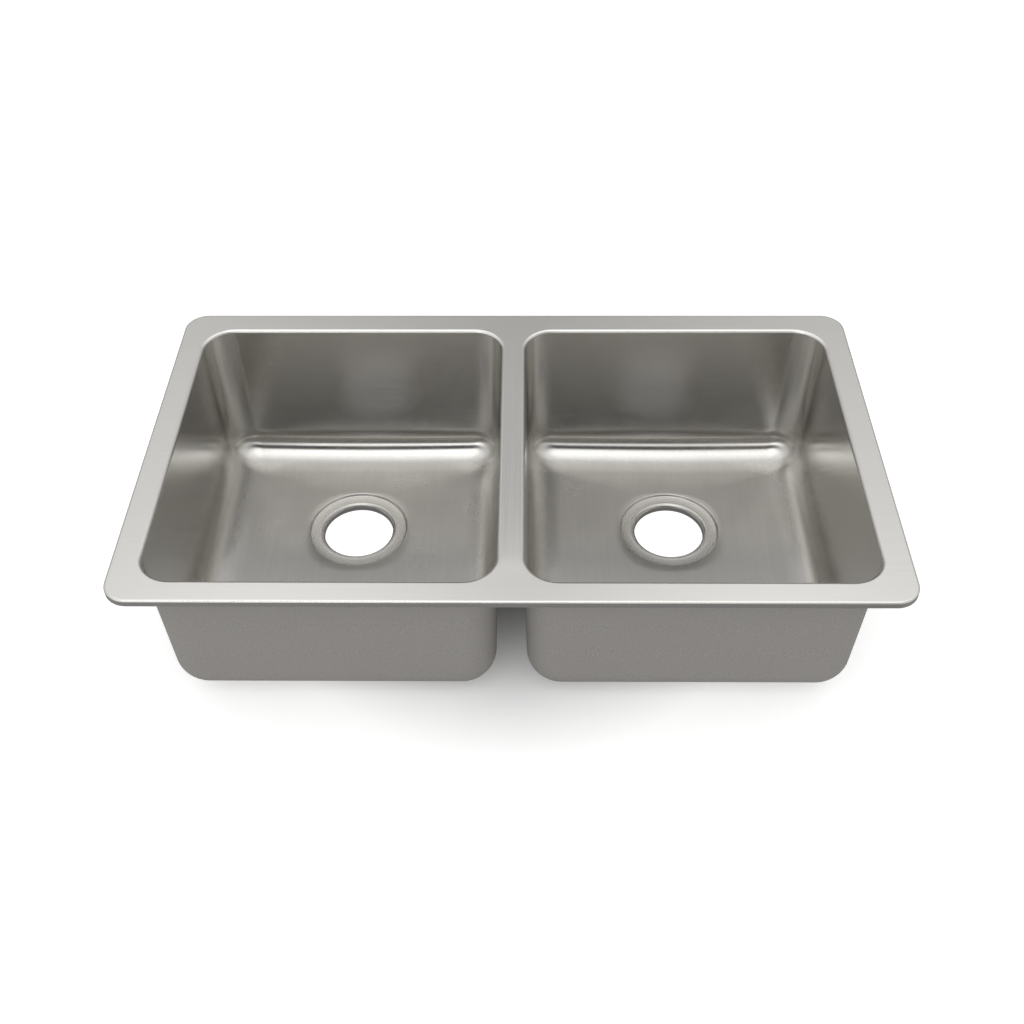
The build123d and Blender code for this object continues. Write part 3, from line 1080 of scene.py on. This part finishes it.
def room_world(stage):
    """A closed pale room with a dark band of wall in front, below its bright ceiling."""
    world = bpy.data.worlds.new("studio room")
    world.use_nodes = True
    tree = world.node_tree
    tree.nodes.clear()
    ray = add_node(tree, "ShaderNodeTexCoord").outputs["Generated"]
    rise = add_node(tree, "ShaderNodeSeparateXYZ", links={"Vector": ray}).outputs["Z"]
    # 0 at the horizon, 1 straight up
    height = add_node(
        tree, "ShaderNodeMath", {"operation": "MULTIPLY", 1: 2 / math.pi},
        {0: add_node(tree, "ShaderNodeMath", {"operation": "ARCSINE"}, {0: rise}).outputs[0]},
    ).outputs[0]
    level = add_node(
        tree, "ShaderNodeVectorMath", {"operation": "MULTIPLY", 1: (1, 1, 0)}, {0: ray},
    ).outputs["Vector"]
    heading = add_node(
        tree, "ShaderNodeVectorMath", {"operation": "NORMALIZE"}, {0: level},
    ).outputs["Vector"]
    heading = add_node(tree, "ShaderNodeSeparateXYZ", links={"Vector": heading})
    sides, front_left, front_right, back_ends = (
        wall_glow(tree, height, stops)
        for stops in (SIDE_WALLS, FRONT_LEFT, FRONT_RIGHT, BACK_WALL)
    )
    off_middle = add_node(
        tree, "ShaderNodeMath", {"operation": "ABSOLUTE"}, {0: heading.outputs["X"]},
    ).outputs[0]
    dimmed = add_node(
        tree, "ShaderNodeMapRange",
        {"From Max": OFF_MIDDLE, "To Min": BACK_MIDDLE, "To Max": 1.0}, {"Value": off_middle},
    ).outputs["Result"]
    back = add_node(
        tree, "ShaderNodeMath", {"operation": "MULTIPLY"}, {0: back_ends, 1: dimmed},
    ).outputs[0]
    rightward = add_node(
        tree, "ShaderNodeMapRange", {"From Min": -OFF_MIDDLE, "From Max": OFF_MIDDLE},
        {"Value": heading.outputs["X"]},
    ).outputs["Result"]
    front = add_node(
        tree, "ShaderNodeMix", {"data_type": "FLOAT"},
        {"Factor": rightward, "A": front_left, "B": front_right},
    ).outputs["Result"]
    # how far a ray faces the sides, the front and the back; the squares add up to 1
    facing = [heading.outputs["X"]] + [
        add_node(
            tree, "ShaderNodeMath", {"operation": "MULTIPLY", "use_clamp": True, 1: sign},
            {0: heading.outputs["Y"]},
        ).outputs[0]
        for sign in (-1.0, 1.0)
    ]
    facing, glows = (
        add_node(tree, "ShaderNodeCombineXYZ", links=dict(zip("XYZ", parts))).outputs["Vector"]
        for parts in (facing, (sides, front, back))
    )
    shares = add_node(
        tree, "ShaderNodeVectorMath", {"operation": "MULTIPLY"}, {0: facing, 1: facing},
    ).outputs["Vector"]
    walls = add_node(
        tree, "ShaderNodeVectorMath", {"operation": "DOT_PRODUCT"}, {0: shares, 1: glows},
    ).outputs["Value"]
    # below the horizon lies a dull floor
    to_floor = add_node(
        tree, "ShaderNodeMapRange",
        {"From Min": FLOOR_EDGE[0], "From Max": FLOOR_EDGE[1],
         "To Min": stage.floor_reflection, "To Max": 1.0},
        {"Value": rise},
    ).outputs["Result"]
    brightness = add_node(
        tree, "ShaderNodeMath", {"operation": "MULTIPLY"}, {0: walls, 1: to_floor},
    ).outputs[0]
    strength = add_node(
        tree, "ShaderNodeMath", {"operation": "MULTIPLY", 1: ROOM_PEAK * stage.room_strength},
        {0: brightness},
    ).outputs[0]
    sky = add_node(tree, "ShaderNodeBackground", {"Color": (1, 1, 1, 1)}, {"Strength": strength})
    room = add_node(tree, "ShaderNodeOutputWorld")
    tree.links.new(sky.outputs["Background"], room.inputs["Surface"])
    return world


CAMERA_ANGLES = (45.66, 0.894, -0.535)  # pitch down, yaw left and roll, in degrees
CAMERA_LENS = 42.9  # mm, on film 36 mm wide
CAMERA_SPOT = (15.3, -1038.2, 946.3)  # mm, from the middle of the deck's top


def photo_camera():
    """A camera matched to the photograph: world X lies right in it, and Y away from it."""
    pitch, yaw, roll = (math.radians(angle) for angle in CAMERA_ANGLES)
    camera = bpy.data.cameras.new("camera")
    camera.lens = CAMERA_LENS
    camera.sensor_width = 36
    camera.clip_start, camera.clip_end = 0.05, 50
    turn = Matrix.Rotation(yaw, 3, "Z")
    right = turn @ Vector((1, 0, 0))
    ahead = turn @ Vector((0, math.cos(pitch), -math.sin(pitch)))
    up = turn @ Vector((0, math.sin(pitch), math.cos(pitch)))
    rolled_right = math.cos(roll) * right + math.sin(roll) * up
    rolled_up = math.cos(roll) * up - math.sin(roll) * right
    pose = Matrix((rolled_right, rolled_up, -ahead)).transposed().to_4x4()
    pose.translation = Vector((0, 0, DECK_TOP)) + Vector(CAMERA_SPOT) * MM
    eye = bpy.data.objects.new("camera", camera)
    eye.matrix_world = pose
    bpy.context.scene.collection.objects.link(eye)
    return eye


class SINK_OT_stage(bpy.types.Operator):
    """Lay the white floor, light the room round it and set the camera"""
    bl_idname = "sink.stage"
    bl_label = "Stage"

    def execute(self, context):
        scene = context.scene
        stage = scene.sink_stage
        lay_floor(stage)
        # painted light: a glowing white card shows through the drains, and a dimmer disc that only
        # the steel sees is a painted reflection of soft grey there
        for name, side in SIDES.items():
            middle = Vector((side * DRAIN_MIDDLE.x, DRAIN_MIDDLE.y))
            card = glow_disc(f"{name}_drain_painted_white_card", PAINTED_WHITE_GLOW, middle, COLLAR_END - CARD_GAP)
            card.visible_glossy = False
            shade = glow_disc(
                f"{name}_drain_painted_reflection", stage.drain_glow, middle, COLLAR_END - PAINTED_REFLECTION_GAP,
            )
            shade.visible_camera = False
        scene.world = room_world(stage)
        scene.camera = photo_camera()
        scene.view_settings.view_transform = "Standard"
        return {"FINISHED"}


class SINK_PT_panel(bpy.types.Panel):
    """Lists the sink's pieces in the sidebar"""
    bl_label = "Double Bowl Sink"
    bl_idname = "SINK_PT_panel"
    bl_space_type = "VIEW_3D"
    bl_region_type = "UI"
    bl_category = "Sink"

    def draw(self, context):
        layout = self.layout
        scene = context.scene
        for group in (getattr(scene, name) for name in GROUPS):
            box = layout.box()
            for name in group.__annotations__:
                box.prop(group, name)
        for operator in OPERATORS:
            layout.operator(operator.bl_idname)


GROUPS = {
    "sink_deck": SinkDeckSizes,
    "sink_bowls": SinkBowlSizes,
    "sink_clips": SinkClipSizes,
    "sink_finish": SinkFinish,
    "sink_stage": SinkStage,
}
OPERATORS = (
    SINK_OT_rim_deck,
    SINK_OT_bowls,
    SINK_OT_channels,
    SINK_OT_bolts,
    SINK_OT_clips,
    SINK_OT_sound_pads,
    SINK_OT_stage,
)


def register():
    for name, group in GROUPS.items():
        bpy.utils.register_class(group)
        setattr(bpy.types.Scene, name, PointerProperty(type=group))
    for operator in OPERATORS:
        bpy.utils.register_class(operator)
    bpy.utils.register_class(SINK_PT_panel)


def unregister():
    bpy.utils.unregister_class(SINK_PT_panel)
    for operator in reversed(OPERATORS):
        bpy.utils.unregister_class(operator)
    for name, group in GROUPS.items():
        delattr(bpy.types.Scene, name)
        bpy.utils.unregister_class(group)


def main():
    register()
    bpy.ops.sink.rim_deck()
    bpy.ops.sink.bowls()
    bpy.ops.sink.channels()
    bpy.ops.sink.bolts()
    bpy.ops.sink.clips()
    bpy.ops.sink.sound_pads()
    bpy.ops.sink.stage()


if __name__ == "__main__":
    main()
